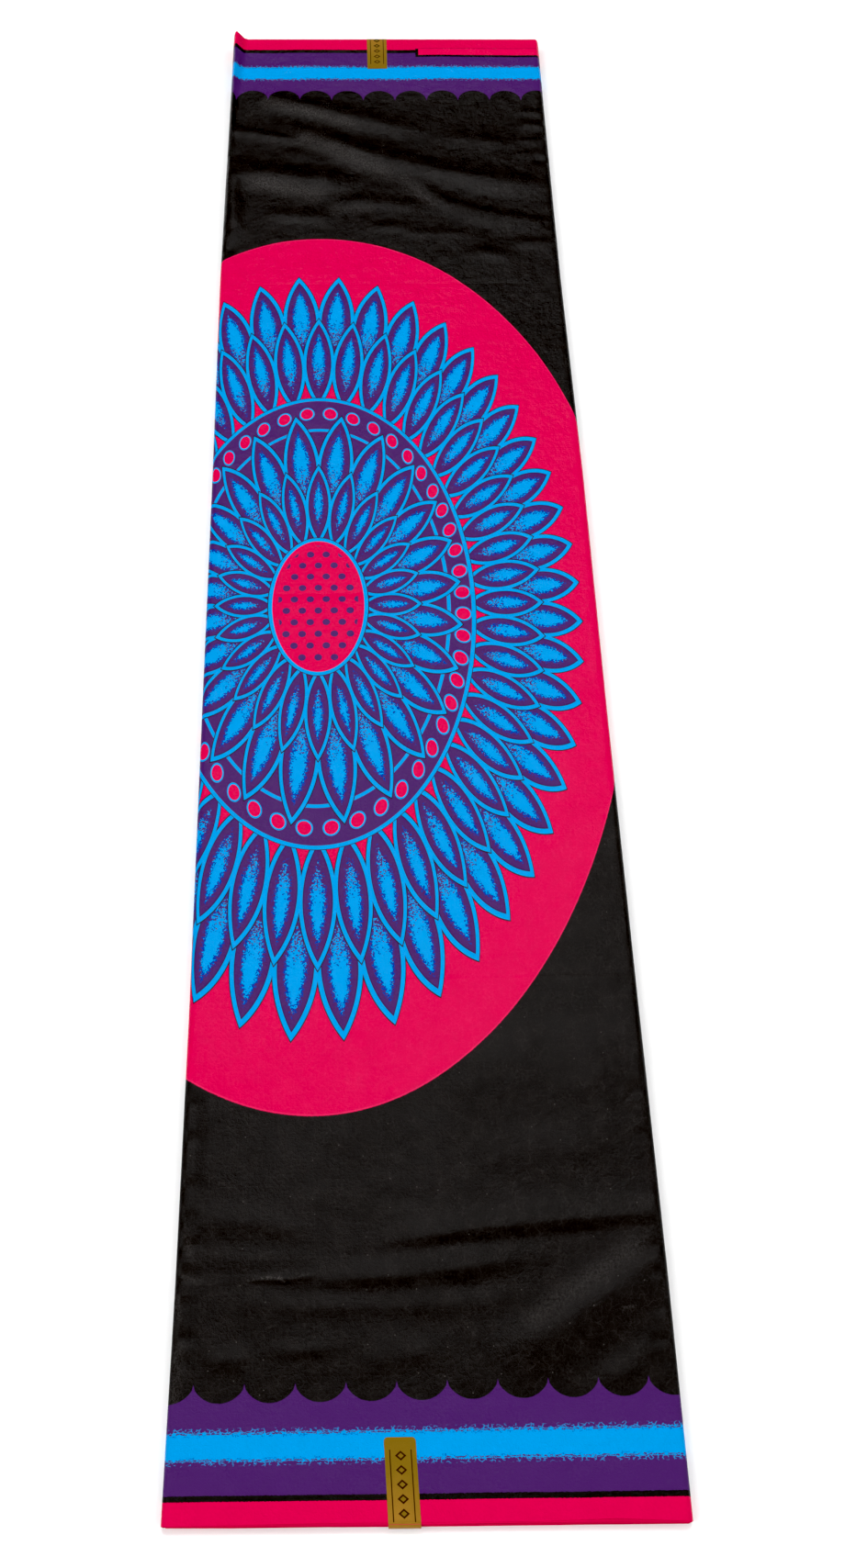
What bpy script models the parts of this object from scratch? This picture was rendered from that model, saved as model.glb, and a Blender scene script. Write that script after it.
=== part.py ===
"""A six yard wax print cloth, folded into one long flat strip and laid down.

The cloth is 1.17 m wide between its selvedges and about 5.5 m long. Its length
is turned over and over into a strip 0.27 m wide and some twenty plies thick.
Both long sides are folds that turn down, and both short ends show the
selvedges of the plies. A narrow label is stuck over each end.

+Y runs along the strip from its near end to its far end, +X runs across it,
and the strip rests on Z = 0.
"""

import math
from collections import namedtuple

import bmesh
import bpy
from mathutils import Vector

# Driving dimensions in metres
STACK = 0.0080
WALL = 0.0012
GAP = 0.0003
FOLD_RADIUS = 0.0040
SEAM_HEIGHT = STACK / 2

# The near end of the longest ply slants a little across the strip
NEAR_END = -0.5834
NEAR_SLANT = -0.0220
SLANT_FADES_AT = -0.4600
FAR_END = 0.5860

# The two long folds, from the near end to the far end
Outline = namedtuple("Outline", "y left right")
OUTLINE = (
    Outline(-0.5834, -0.1369, 0.1372),
    Outline(-0.4600, -0.1350, 0.1375),
    Outline(-0.3000, -0.1340, 0.1368),
    Outline(-0.1000, -0.1343, 0.1364),
    Outline(0.1000, -0.1344, 0.1369),
    Outline(0.3000, -0.1352, 0.1353),
    Outline(0.4800, -0.1334, 0.1359),
    Outline(0.5860, -0.1322, 0.1366),
)

# The loose plies stand higher towards the far end
LIFT = 0.0030
LIFT_LENGTH = 0.1100
LIFT_ROWS = 5

# The pinched fold at the far left corner, by distance from the far end
Pinch = namedtuple("Pinch", "distance height width")
PINCH = (
    Pinch(0.000, 0.0082, 0.0120),
    Pinch(0.045, 0.0054, 0.0085),
    Pinch(0.075, 0.0034, 0.0062),
    Pinch(0.120, 0.0016, 0.0050),
    Pinch(0.200, 0.0000, 0.0050),
)
PINCH_CREST = 0.0025

# The largest creases of the top panel, each a bowed line through three points
Crease = namedtuple("Crease", "start middle end height half_width")
CREASES = (
    Crease((0.137, -0.432), (0.050, -0.437), (-0.037, -0.445), -0.0005, 0.006),
    Crease((0.131, -0.421), (0.070, -0.419), (0.000, -0.433), 0.0010, 0.011),
    Crease((-0.076, -0.461), (0.000, -0.462), (0.069, -0.452), -0.0005, 0.007),
    Crease((-0.110, -0.469), (-0.030, -0.473), (0.050, -0.470), 0.0007, 0.008),
    Crease((0.050, -0.487), (0.095, -0.466), (0.132, -0.434), 0.0012, 0.010),
    Crease((0.046, -0.513), (0.092, -0.490), (0.135, -0.467), -0.0005, 0.008),
    Crease((0.078, -0.512), (0.110, -0.494), (0.133, -0.479), 0.0009, 0.007),
    Crease((-0.108, 0.507), (-0.050, 0.484), (0.019, 0.464), 0.0014, 0.012),
    Crease((-0.079, 0.489), (0.020, 0.436), (0.131, 0.405), -0.0005, 0.012),
    Crease((-0.077, 0.467), (0.020, 0.411), (0.132, 0.391), 0.0013, 0.013),
    Crease((0.041, 0.391), (0.085, 0.379), (0.131, 0.365), -0.0005, 0.008),
    Crease((0.046, 0.377), (0.080, 0.357), (0.130, 0.351), 0.0010, 0.010),
    Crease((-0.105, 0.412), (-0.080, 0.404), (-0.050, 0.406), 0.0011, 0.012),
    Crease((-0.039, 0.390), (-0.005, 0.388), (0.030, 0.374), -0.0004, 0.008),
)
CREASE_STEPS = 12
CREASE_FADE = 0.2
CREASE_END = 0.35
CREASE_REACH = 3

# Marks of the packing folds, straight across the strip
CROSS_FOLDS = (-0.2860, -0.0020, 0.2920)
CROSS_FOLD_DEPTH = 0.0004
CROSS_FOLD_HALF_WIDTH = 0.0060

# Rows of points along the top panel, closer where it is creased
Stretch = namedtuple("Stretch", "start end rows")
STRETCHES = (
    Stretch(NEAR_END, -0.5150, 5),
    Stretch(-0.5040, -0.3940, 11),
    Stretch(-0.3540, 0.2940, 12),
    Stretch(0.3330, 0.5110, 14),
    Stretch(0.5250, FAR_END, 6),
)

# Points across the strip: angles round each fold, and stations between them
FOLD_ANGLES = (0, 10, 36, 64, 90)
LEFT_STATIONS = (0.0060, 0.0085, 0.0120)
MIDDLE_STATIONS = 18
UNDERSIDE_STATIONS = 4

# A wall's inner edge leans past its outer one at the seam between the panels
SEAM_LEAN = WALL * math.sin(math.radians(FOLD_ANGLES[1] / 2))
SEAM_HALF_GAP = GAP / 2 + SEAM_LEAN

# How far the top panel stops behind the longest ply at the near end
Setback = namedtuple("Setback", "x distance")
NEAR_SETBACK = (
    Setback(-0.137, 0.0010),
    Setback(-0.050, 0.0020),
    Setback(0.055, 0.0018),
    Setback(0.098, 0.0028),
    Setback(0.137, 0.0012),
)
FAR_SETBACK = 0.0008
UNDERSIDE_SETBACK = 0.0020

# The hidden plies, from the lowest up: how far each stops behind its end
Ply = namedtuple("Ply", "near_left near_right far_left far_right")
PLIES = (
    Ply(0.0004, 0.0012, 0.0012, 0.0004),
    Ply(0.0010, 0.0002, 0.0002, 0.0012),
    Ply(0.0000, 0.0006, 0.0010, 0.0006),
    Ply(0.0007, 0.0000, 0.0000, 0.0016),
    Ply(0.0014, 0.0009, 0.0014, 0.0000),
)
PLY_GROOVE = 0.0006
PLY_EDGE = 0.28
PLY_CLEARANCE = 0.0009
PLY_END_STATIONS = 12
PLY_BOTTOM = WALL + GAP
PLY_TOP = STACK - WALL - CROSS_FOLD_DEPTH - 2 * GAP

# The labels, by where each crosses its end; the lean is in degrees
Label = namedtuple("Label", "name x lean width length end")
LABELS = (
    Label("label_near", -0.0118, 2.4, 0.0168, 0.0420, "near"),
    Label("label_far", -0.0066, 0.0, 0.0172, 0.0390, "far"),
)
LABEL_THICKNESS = 0.0004
LABEL_CORNER = 0.0018
LABEL_ABOVE_FLOOR = 0.0012
LABEL_STATIONS = 4
LABEL_ROWS = 6

# Colours read off the cloth, linear
INK_BLACK = (0.011, 0.009, 0.008)
SELVEDGE_PINK = (0.700, 0.001, 0.065)
UNDERSIDE_PURPLE = (0.080, 0.016, 0.162)
FOIL_GOLD = (0.250, 0.150, 0.012)


def interpolate(table, key, column):
    """The value of a column between the rows of a table sorted by its first column."""
    if key <= table[0][0]:
        return getattr(table[0], column)
    for low, high in zip(table, table[1:]):
        if key <= high[0]:
            share = (key - low[0]) / (high[0] - low[0])
            start = getattr(low, column)
            return start + share * (getattr(high, column) - start)
    return getattr(table[-1], column)


def smooth_step(value):
    """Ease from 0 to 1 as value goes from 0 to 1."""
    value = min(max(value, 0.0), 1.0)
    return value * value * (3.0 - 2.0 * value)


def slanted(x, y):
    """Shift a station along the strip by the slant of the near end."""
    share = (SLANT_FADES_AT - y) / (SLANT_FADES_AT - NEAR_END)
    return y + NEAR_SLANT * x * min(max(share, 0.0), 1.0)


def lift(y):
    """How much higher the loose plies stand near the far end."""
    return LIFT * smooth_step(1.0 - (FAR_END - y) / LIFT_LENGTH)


def pinch(inset, y):
    """The height of the pinched fold, by distance in from the left fold."""
    distance = FAR_END - y
    height = interpolate(PINCH, distance, "height")
    width = interpolate(PINCH, distance, "width")
    if inset < PINCH_CREST:
        return height
    return height * (1.0 - smooth_step((inset - PINCH_CREST) / (width - PINCH_CREST)))


def bowed_line(start, middle, end):
    """Points of the parabola that passes through three points."""
    points = []
    for step in range(CREASE_STEPS + 1):
        t = step / CREASE_STEPS
        weights = ((1 - t) * (1 - 2 * t), 4 * t * (1 - t), t * (2 * t - 1))
        x = sum(w * p[0] for w, p in zip(weights, (start, middle, end)))
        y = sum(w * p[1] for w, p in zip(weights, (start, middle, end)))
        points.append((x, y))
    return points


CREASE_LINES = [bowed_line(row.start, row.middle, row.end) for row in CREASES]


def crease(x, y):
    """The height that the creases add to the top panel at a point."""
    total = 0.0
    for row, points in zip(CREASES, CREASE_LINES):
        nearest, place = min(
            (math.hypot(x - px, y - py), step) for step, (px, py) in enumerate(points)
        )
        if nearest > CREASE_REACH * row.half_width:
            continue
        along = place / CREASE_STEPS
        fade = smooth_step(min(along, 1.0 - along) / CREASE_FADE + CREASE_END)
        total += row.height * fade * math.exp(-((nearest / row.half_width) ** 2))
    for fold in CROSS_FOLDS:
        share = abs(y - fold) / CROSS_FOLD_HALF_WIDTH
        total -= CROSS_FOLD_DEPTH * max(0.0, 1.0 - share)
    return max(total, -CROSS_FOLD_DEPTH)


def top_height(x, y):
    """The height of the top panel's outer face, away from the side folds."""
    return STACK + lift(y) + crease(x, y)


def near_setback(x):
    """How far the top panel stops behind the longest ply at the near end."""
    return interpolate(NEAR_SETBACK, x, "distance")


def cross_stations(left, right, left_stations, middle_count):
    """Points across the strip as (x, distance in from the left, share of the rise)."""
    stations = []
    for angle in FOLD_ANGLES:
        turn = math.radians(angle)
        inset = FOLD_RADIUS * (1 - math.cos(turn))
        stations.append((left + inset, inset, math.sin(turn)))
    first = FOLD_RADIUS
    for inset in left_stations:
        stations.append((left + inset, inset, 1.0))
        first = inset
    last = right - left - FOLD_RADIUS
    for step in range(1, middle_count + 1):
        inset = first + (last - first) * step / (middle_count + 1)
        stations.append((left + inset, inset, 1.0))
    for angle in reversed(FOLD_ANGLES):
        turn = math.radians(angle)
        inset = FOLD_RADIUS * (1 - math.cos(turn))
        stations.append((right - inset, right - left - inset, math.sin(turn)))
    return stations


def panel_rows():
    """Stations along the top panel, with three at each cross fold."""
    rows = set()
    for stretch in STRETCHES:
        for step in range(stretch.rows):
            share = step / (stretch.rows - 1)
            rows.add(round(stretch.start + (stretch.end - stretch.start) * share, 5))
    for fold in CROSS_FOLDS:
        near = {y for y in rows if abs(y - fold) < 2 * CROSS_FOLD_HALF_WIDTH}
        rows -= near
        rows |= {fold - CROSS_FOLD_HALF_WIDTH, fold, fold + CROSS_FOLD_HALF_WIDTH}
    rows |= {row.y for row in OUTLINE}
    return sorted(rows)


def make_material(name, colour, roughness, metallic):
    """A plain Principled material."""
    material = bpy.data.materials.new(name)
    material.use_nodes = True
    shader = material.node_tree.nodes["Principled BSDF"]
    shader.inputs["Base Color"].default_value = (*colour, 1.0)
    shader.inputs["Roughness"].default_value = roughness
    shader.inputs["Metallic"].default_value = metallic
    return material


def add_object(name, bm, material):
    """Turn a bmesh into a named, smooth shaded object with one material."""
    mesh = bpy.data.meshes.new(name)
    bm.to_mesh(mesh)
    bm.free()
    mesh.materials.append(material)
    mesh.shade_smooth()
    mesh.set_sharp_from_angle(angle=math.radians(50))
    piece = bpy.data.objects.new(name, mesh)
    bpy.context.scene.collection.objects.link(piece)
    return piece


def sheet_from_rows(rows):
    """An open sheet of quads through rows of points, facing up."""
    bm = bmesh.new()
    lines = [[bm.verts.new(point) for point in row] for row in rows]
    for near, far in zip(lines, lines[1:]):
        for column in range(len(near) - 1):
            bm.faces.new((near[column], near[column + 1], far[column + 1], far[column]))
    bm.normal_update()
    return bm


def thicken(piece, thickness, outwards):
    """Give a sheet its wall with a Solidify modifier."""
    modifier = piece.modifiers.new("wall", "SOLIDIFY")
    modifier.thickness = thickness
    modifier.offset = 1.0 if outwards else -1.0
    modifier.use_even_offset = True


def build_top_panel(material):
    """The ply that shows: across the top and half way down both side folds."""
    rows = []
    for y in panel_rows():
        left = interpolate(OUTLINE, y, "left")
        right = interpolate(OUTLINE, y, "right")
        seam = SEAM_HEIGHT + SEAM_HALF_GAP
        row = []
        for x, inset, rise in cross_stations(left, right, LEFT_STATIONS, MIDDLE_STATIONS):
            place = slanted(x, y)
            if y == NEAR_END:
                place += near_setback(x)
            if y == FAR_END:
                place -= FAR_SETBACK
            height = top_height(x, place) + pinch(inset, y)
            row.append(Vector((x, place, seam + (height - seam) * rise)))
        rows.append(row)
    panel = add_object("top_panel", sheet_from_rows(rows), material)
    thicken(panel, WALL, outwards=False)
    return panel


def build_bottom_panel(material):
    """The ply that rests on the floor: flat, and half way up both side folds."""
    rows = []
    for y, left, right in OUTLINE:
        seam = SEAM_HEIGHT - SEAM_HALF_GAP
        row = []
        for x, _, rise in cross_stations(left, right, (), UNDERSIDE_STATIONS):
            place = slanted(x, y)
            if y == NEAR_END:
                place += UNDERSIDE_SETBACK
            if y == FAR_END:
                place -= UNDERSIDE_SETBACK
            row.append(Vector((x, place, seam * (1.0 - rise))))
        rows.append(row)
    bm = sheet_from_rows(rows)
    bmesh.ops.reverse_faces(bm, faces=bm.faces)
    panel = add_object("bottom_panel", bm, material)
    thicken(panel, WALL, outwards=False)
    return panel


def side_inset(height):
    """How far in from the outline the hidden plies lie at a height in the stack."""
    inner_radius = FOLD_RADIUS - WALL
    reach = (height - SEAM_HEIGHT) / (SEAM_HEIGHT - WALL)
    return WALL + inner_radius * (1.0 - math.sqrt(1.0 - reach * reach)) + PLY_CLEARANCE


def ply_rows():
    """Stations along the hidden plies: the outline's own, and those of the lift."""
    rows = {row.y for row in OUTLINE}
    for step in range(1, LIFT_ROWS + 1):
        rows.add(round(FAR_END - LIFT_LENGTH * step / LIFT_ROWS, 5))
    return sorted(rows)


def ply_ring(height, ply, groove):
    """One level ring round the hidden plies, as near, right, far and left stretches."""
    ends = PLIES[ply]
    inset = side_inset(height) + groove
    share = (height - PLY_BOTTOM) / (PLY_TOP - PLY_BOTTOM)

    def point(x, y):
        return Vector((x, y, height + lift(y) * share))

    def left_side(y):
        return interpolate(OUTLINE, y, "left") + inset

    def right_side(y):
        return interpolate(OUTLINE, y, "right") - inset

    near = []
    far = []
    for step in range(PLY_END_STATIONS + 1):
        across = step / PLY_END_STATIONS
        x = left_side(NEAR_END) * (1 - across) + right_side(NEAR_END) * across
        back = ends.near_left * (1 - across) + ends.near_right * across + groove
        near.append(point(x, slanted(x, NEAR_END) + back))
        x = left_side(FAR_END) * (1 - across) + right_side(FAR_END) * across
        back = ends.far_left * (1 - across) + ends.far_right * across + groove
        far.append(point(x, FAR_END - back))
    between = ply_rows()[1:-1]
    right = [point(right_side(y), slanted(right_side(y), y)) for y in between]
    left = [point(left_side(y), slanted(left_side(y), y)) for y in between]
    return near, right, far, left


def build_folded_layers(material):
    """The plies inside the outer turn, as one solid with layered edges."""
    ply_height = (PLY_TOP - PLY_BOTTOM) / len(PLIES)
    rings = []
    for ply in range(len(PLIES)):
        bottom = PLY_BOTTOM + ply * ply_height
        if ply == 0:
            rings.append(ply_ring(bottom, ply, PLY_GROOVE / 2))
        rings.append(ply_ring(bottom + PLY_EDGE * ply_height, ply, 0.0))
        rings.append(ply_ring(bottom + (1 - PLY_EDGE) * ply_height, ply, 0.0))
        last = ply == len(PLIES) - 1
        rings.append(ply_ring(bottom + ply_height, ply, PLY_GROOVE / (2 if last else 1)))

    bm = bmesh.new()
    loops = []
    parts = []
    for ring in rings:
        near, right, far, left = [[bm.verts.new(p) for p in stretch] for stretch in ring]
        parts.append((near, right, far, left))
        loops.append(near + right + far[::-1] + left[::-1])
    for lower, upper in zip(loops, loops[1:]):
        for place in range(len(lower)):
            after = (place + 1) % len(lower)
            bm.faces.new((lower[place], lower[after], upper[after], upper[place]))
    for near, right, far, left in (parts[0], parts[-1]):
        bm.faces.new(near + [right[0], left[0]])
        for row in range(len(right) - 1):
            bm.faces.new((left[row], right[row], right[row + 1], left[row + 1]))
        bm.faces.new([left[-1], right[-1]] + far[::-1])
    bmesh.ops.recalc_face_normals(bm, faces=bm.faces)
    return add_object("folded_layers", bm, material)


def label_path(plan):
    """The label's path over its end, as (distance past the longest ply, height)."""
    setback = near_setback(plan.x) if plan.end == "near" else FAR_SETBACK
    rise = 0.0 if plan.end == "near" else LIFT
    top = STACK + rise + GAP
    ledge = PLY_TOP + rise + GAP
    over = 2 * GAP
    return (
        (-setback, top),
        (-setback + over, (top + ledge) / 2),
        (0.0, ledge),
        (over, ledge - over),
        (over + GAP, LABEL_ABOVE_FLOOR),
    )


def build_label(plan, material):
    """A label stuck on the top panel and over one end, from the panel's points."""
    sign = -1 if plan.end == "near" else 1
    tilt = math.tan(math.radians(plan.lean))

    def end_line(x):
        return slanted(x, NEAR_END) if plan.end == "near" else FAR_END

    def across(half_width, middle):
        steps = range(LABEL_STATIONS + 1)
        return [middle + half_width * (2 * step / LABEL_STATIONS - 1) for step in steps]

    stations = []
    for angle in (0.0, math.pi / 4, math.pi / 2):
        down = LABEL_CORNER * (1 - math.cos(angle))
        stations.append((down, LABEL_CORNER * (1 - math.sin(angle))))
    for step in range(1, LABEL_ROWS):
        stations.append((plan.length * step / LABEL_ROWS, 0.0))
    rows = []
    for down, narrower in stations:
        before = plan.length - down
        row = []
        for x in across(plan.width / 2 - narrower, plan.x - tilt * before):
            y = end_line(x) - sign * before
            row.append(Vector((x, y, top_height(x, y) + GAP)))
        rows.append(row)
    for past, height in label_path(plan):
        row = []
        for x in across(plan.width / 2, plan.x + tilt * past):
            row.append(Vector((x, end_line(x) + sign * past, height)))
        rows.append(row)
    if plan.end == "near":
        rows.reverse()
    label = add_object(plan.name, sheet_from_rows(rows), material)
    thicken(label, LABEL_THICKNESS, outwards=True)
    return label


def clear_scene():
    """Remove every object."""
    for piece in list(bpy.data.objects):
        bpy.data.objects.remove(piece, do_unlink=True)


def main():
    clear_scene()
    printed = make_material("printed_cotton", INK_BLACK, 0.55, 0.0)
    underside = make_material("printed_underside", UNDERSIDE_PURPLE, 0.60, 0.0)
    selvedges = make_material("cotton_selvedges", SELVEDGE_PINK, 0.70, 0.0)
    foil = make_material("gold_foil", FOIL_GOLD, 0.35, 0.8)
    build_top_panel(printed)
    build_bottom_panel(underside)
    build_folded_layers(selvedges)
    for plan in LABELS:
        build_label(plan, foil)


main()
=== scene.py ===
"""The looks of a folded length of wax print cotton, round its solid frame.

The cloth is rolled flat into a strip of twenty plies. The outer turn is one
thin shell, printed on its flat cut, and the other turns lie inside it.
"""
import math
from collections import namedtuple

import bpy
import numpy as np
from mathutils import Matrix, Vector, noise


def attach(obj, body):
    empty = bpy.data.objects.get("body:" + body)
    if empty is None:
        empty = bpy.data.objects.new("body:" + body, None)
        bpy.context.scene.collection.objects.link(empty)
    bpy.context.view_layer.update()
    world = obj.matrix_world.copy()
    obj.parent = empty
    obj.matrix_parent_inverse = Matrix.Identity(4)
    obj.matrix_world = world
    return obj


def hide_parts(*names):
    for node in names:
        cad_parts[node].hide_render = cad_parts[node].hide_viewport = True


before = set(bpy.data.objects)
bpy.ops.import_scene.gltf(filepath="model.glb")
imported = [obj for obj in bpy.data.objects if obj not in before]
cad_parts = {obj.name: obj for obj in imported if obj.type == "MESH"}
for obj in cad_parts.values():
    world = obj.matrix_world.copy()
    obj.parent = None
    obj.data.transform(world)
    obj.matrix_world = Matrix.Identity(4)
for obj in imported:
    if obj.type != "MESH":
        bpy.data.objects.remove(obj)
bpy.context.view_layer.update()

# Sizes in metres, the same as those of the solids
STACK = 0.0080
FOLD_RADIUS = 0.0040
NEAR_END = -0.5834
NEAR_SLANT = -0.0220
SLANT_FADES_AT = -0.4600
FAR_END = 0.5860
LIFT = 0.0030
LIFT_LENGTH = 0.1100
PINCH_CREST = 0.0025

Outline = namedtuple("Outline", "y left right")
OUTLINE = (
    Outline(-0.5834, -0.1369, 0.1372),
    Outline(-0.4600, -0.1350, 0.1375),
    Outline(-0.3000, -0.1340, 0.1368),
    Outline(-0.1000, -0.1343, 0.1364),
    Outline(0.1000, -0.1344, 0.1369),
    Outline(0.3000, -0.1352, 0.1353),
    Outline(0.4800, -0.1334, 0.1359),
    Outline(0.5860, -0.1322, 0.1366),
)

Pinch = namedtuple("Pinch", "distance height width")
PINCH = (
    Pinch(0.000, 0.0082, 0.0120),
    Pinch(0.045, 0.0054, 0.0085),
    Pinch(0.075, 0.0034, 0.0062),
    Pinch(0.120, 0.0016, 0.0050),
    Pinch(0.200, 0.0000, 0.0050),
)

# How far the top ply stops behind the longest ply at the near end
Setback = namedtuple("Setback", "x distance")
NEAR_SETBACK = (
    Setback(-0.137, 0.0010),
    Setback(-0.050, 0.0020),
    Setback(0.055, 0.0018),
    Setback(0.098, 0.0028),
    Setback(0.137, 0.0012),
)
FAR_SETBACK = 0.0008

# The cloth and its turns
CLOTH = 0.00034
PLIES = 20
PLY_PITCH = STACK / PLIES
RIGHT_RADIUS = (STACK - PLY_PITCH) / 2
RIGHT_MIDDLE = (STACK + PLY_PITCH) / 2
FLAP = 0.030
UNDER_EDGE = 0.0070

# Creases of the outer turn in millimetres, each with a bowed crest through three
# points. A positive lean makes the side towards the far end the gentler one, and a
# close crease has rows of points of its own beside its middle.
MM = 0.001
Crease = namedtuple(
    "Crease", "start middle end height half_width lean close", defaults=(0.0, False)
)
CREASES = (
    # across the near half
    Crease((185, -429), (70, -434), (-46, -445), 1.6, 6.4, 0.46),
    Crease((-84, -459), (0, -458.5), (80, -448), 1.2, 7.2, 0.2),
    Crease((-124, -470.5), (-20, -475.5), (70, -472), 0.6, 5.2),
    Crease((34, -506), (91, -479), (156, -440), 1.9, 13, -0.25),
    Crease((84, -523), (113, -506), (148, -490), 0.6, 5.5),
    Crease((-130, -428), (-97, -428.5), (-56, -435), 0.9, 7),
    Crease((-130, -449), (-87, -449), (-46, -451), 0.4, 4.5),
    Crease((-98, -460.8), (-86, -459.6), (-74, -460.2), 0.4, 2.2, 0.25),
    Crease((-84, -460.4), (-70, -459.8), (-52, -457.2), 0.6, 2.4, 0.2),
    Crease((-120, -503), (-106, -502), (-90, -500.5), 0.7, 5.5),
    Crease((-90, -496.5), (-65, -497.5), (-38, -495), 0.5, 3.5),
    Crease((-40, -506), (-12, -502), (16, -496), 0.6, 7.5),
    Crease((100, -518), (111, -513), (124, -510), 0.6, 5),
    Crease((20, -395), (80, -390), (150, -388), 0.7, 12),
    Crease((-128, -356), (-126.5, -385), (-128, -420), -0.7, 3.4),
    Crease((-20, -346), (70, -344), (170, -340), 1.6, 28),
    # across the far half
    Crease((-122, 516), (-52, 494), (42, 464), 2.4, 10),
    Crease((-100, 490), (10, 429), (170, 396), 2.4, 11.2),
    Crease((-90, 478), (-28, 446), (52, 419), 0.9, 10),
    Crease((36, 391), (80, 371), (165, 352), 1.6, 8.5, -0.35),
    Crease((14, 416), (36, 394), (52, 374), 1.4, 6.5),
    Crease((-140, 426), (-85, 414), (-20, 407), 2.9, 12, close=True),
    Crease((-52, 384), (-12, 384), (38, 375), 0.9, 6.5),
    Crease((-140, 472), (-103, 464), (-72, 454), 1.5, 5, close=True),
    Crease((-100, 444), (-70, 439), (-36, 426), 0.8, 7),
    Crease((-104, 370), (-74, 368), (-42, 364), 0.9, 7),
    Crease((2, 350), (35, 348), (66, 347), 0.7, 5),
    Crease((-20, 356), (0, 355), (22, 358), 0.7, 4.5),
    Crease((96, 337), (117, 336), (145, 335), 1.2, 5.5),
    Crease((60, 330), (84, 324), (108, 321), 0.8, 7),
    Crease((108, 493), (121, 492), (142, 489), 0.7, 3.8),
    Crease((112, 478), (125, 476.5), (142, 474.5), 1.1, 4.4),
    Crease((104, 457), (125, 457), (142, 458.5), 0.7, 3.4),
    Crease((40, 464), (75, 458), (112, 450), 0.7, 8.5),
    Crease((106, 442), (122, 440), (142, 439), 0.7, 4),
    Crease((-130, 440), (-128, 390), (-126, 330), 2.6, 7.5),
    # short puckers over the left fold
    Crease((-143, -362), (-132, -361), (-122, -360), -0.7, 3),
    Crease((-143, -384), (-130, -382), (-118, -381), -1.1, 3),
    Crease((-143, -409), (-130, -408), (-118, -406), -1.1, 3),
    Crease((-143, -427), (-132, -426), (-124, -424), -0.8, 2.2),
    Crease((-143, -442), (-131, -441), (-120, -439), -0.9, 2.6),
    Crease((-143, -457), (-131, -456), (-119, -457), -1, 2.8),
    Crease((-143, -473), (-132, -472), (-124, -470), -0.8, 2.2),
    Crease((-143, -488), (-132, -489), (-121, -491), -0.9, 2.8),
    Crease((-143, -504), (-133, -503), (-125, -501), -0.7, 2.2),
    Crease((-142, 330), (-131, 331), (-122, 333), -0.9, 3.6),
    Crease((-142, 352), (-132, 353), (-124, 355), -0.9, 3.2),
    Crease((-142, 437), (-132, 439), (-124, 442), -0.8, 3),
    # short puckers over the right fold
    Crease((144, -447), (132, -448), (121, -451), -1, 2.6),
    Crease((144, -461), (133, -461), (123, -464), -1, 2.6),
    Crease((144, -478), (133, -479), (124, -482), -0.9, 2.8),
    Crease((144, -495), (132, -496), (122, -497), -0.8, 2.6),
    Crease((144, -356), (133, -358), (124, -360), -0.7, 3),
    Crease((144, -386), (133, -385), (125, -383), -0.7, 3),
    Crease((143, 354), (131, 356), (122, 359), -0.9, 3.2),
    Crease((143, 431), (130, 433), (120, 437), -0.9, 3),
    # marks of the packing folds, straight across
    Crease((-140, -282), (0, -288), (140, -287), -0.2, 2.2, close=True),
    Crease((-140, -4), (0, -3.5), (140, 0), -0.4, 2.6, close=True),
    Crease((-140, 291), (0, 292), (140, 292), -0.2, 2.2, close=True),
    # small wrinkles by the near right corner
    Crease((125.5, -564), (127.5, -569), (128.5, -575), 0.4, 1.4),
    Crease((135, -568), (132.5, -573), (130, -579), 0.4, 1.4),
)
CLOSE_ROWS = (-4.5, -2.2, 0.0, 2.2, 4.5)

# A crease fades over a share of its length, and ends at a share of its height.
# It is worked out as far as its reach, in half widths.
CREASE_STEPS = 20
CREASE_FADE = 0.36
CREASE_END = 0.06
CREASE_REACH = 3.0
DEEPEST = -0.0011

# Unevenness of the pressed stack, and of the creases as a share of their height
SWELL_LENGTH, SWELL_HEIGHT, SWELL_SEED = 0.070, 0.00070, 3.1
RUMPLE_LENGTH, RUMPLE_HEIGHT, RUMPLE_SEED = 0.024, 0.00020, 7.7
RUMPLE_SQUEEZE = 1.6
UNEVEN_LENGTH, UNEVEN, UNEVEN_SEED = 0.045, 0.45, 19.4
EVEN_END = 0.030

# Rows along the outer turn
Stretch = namedtuple("Stretch", "start end step")
STRETCHES = (
    Stretch(NEAR_END, -0.5640, 0.0016),
    Stretch(-0.5640, -0.4680, 0.0024),
    Stretch(-0.4680, -0.4560, 0.0008),
    Stretch(-0.4560, -0.3500, 0.0024),
    Stretch(-0.3500, 0.3100, 0.0070),
    Stretch(0.3100, FAR_END, 0.0026),
)
TOP_COLUMNS = 90
FOLD_STEPS = 6
UNDER_COLUMNS = 16
FLAP_COLUMNS = 4
END_SQUEEZE = 0.0120

# Colours, linear
PINK = (0.687, 0.0020, 0.0760)
PINK_PALE = (0.900, 0.0550, 0.1800)
PURPLE = (0.0730, 0.0200, 0.1370)
INDIGO = (0.0320, 0.0150, 0.0870)
KEYLINE = (0.0210, 0.0135, 0.0230)
DEEP_BLUE = (0.0025, 0.0420, 0.3570)
BLUE = (0.0006, 0.3170, 0.7570)
BLACK = (0.0116, 0.0101, 0.0094)
GOLD = (0.216, 0.130, 0.0115)
GOLD_WARM = (0.400, 0.196, 0.0300)
BROWN = (0.0400, 0.0100, 0.0060)


def smooth(value):
    """Ease from 0 to 1 as value goes from 0 to 1."""
    value = np.clip(value, 0.0, 1.0)
    return value * value * (3.0 - 2.0 * value)


def column(table, key, name):
    """The value of a named column between the rows of a table."""
    return np.interp(key, [row[0] for row in table], [getattr(row, name) for row in table])


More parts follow.
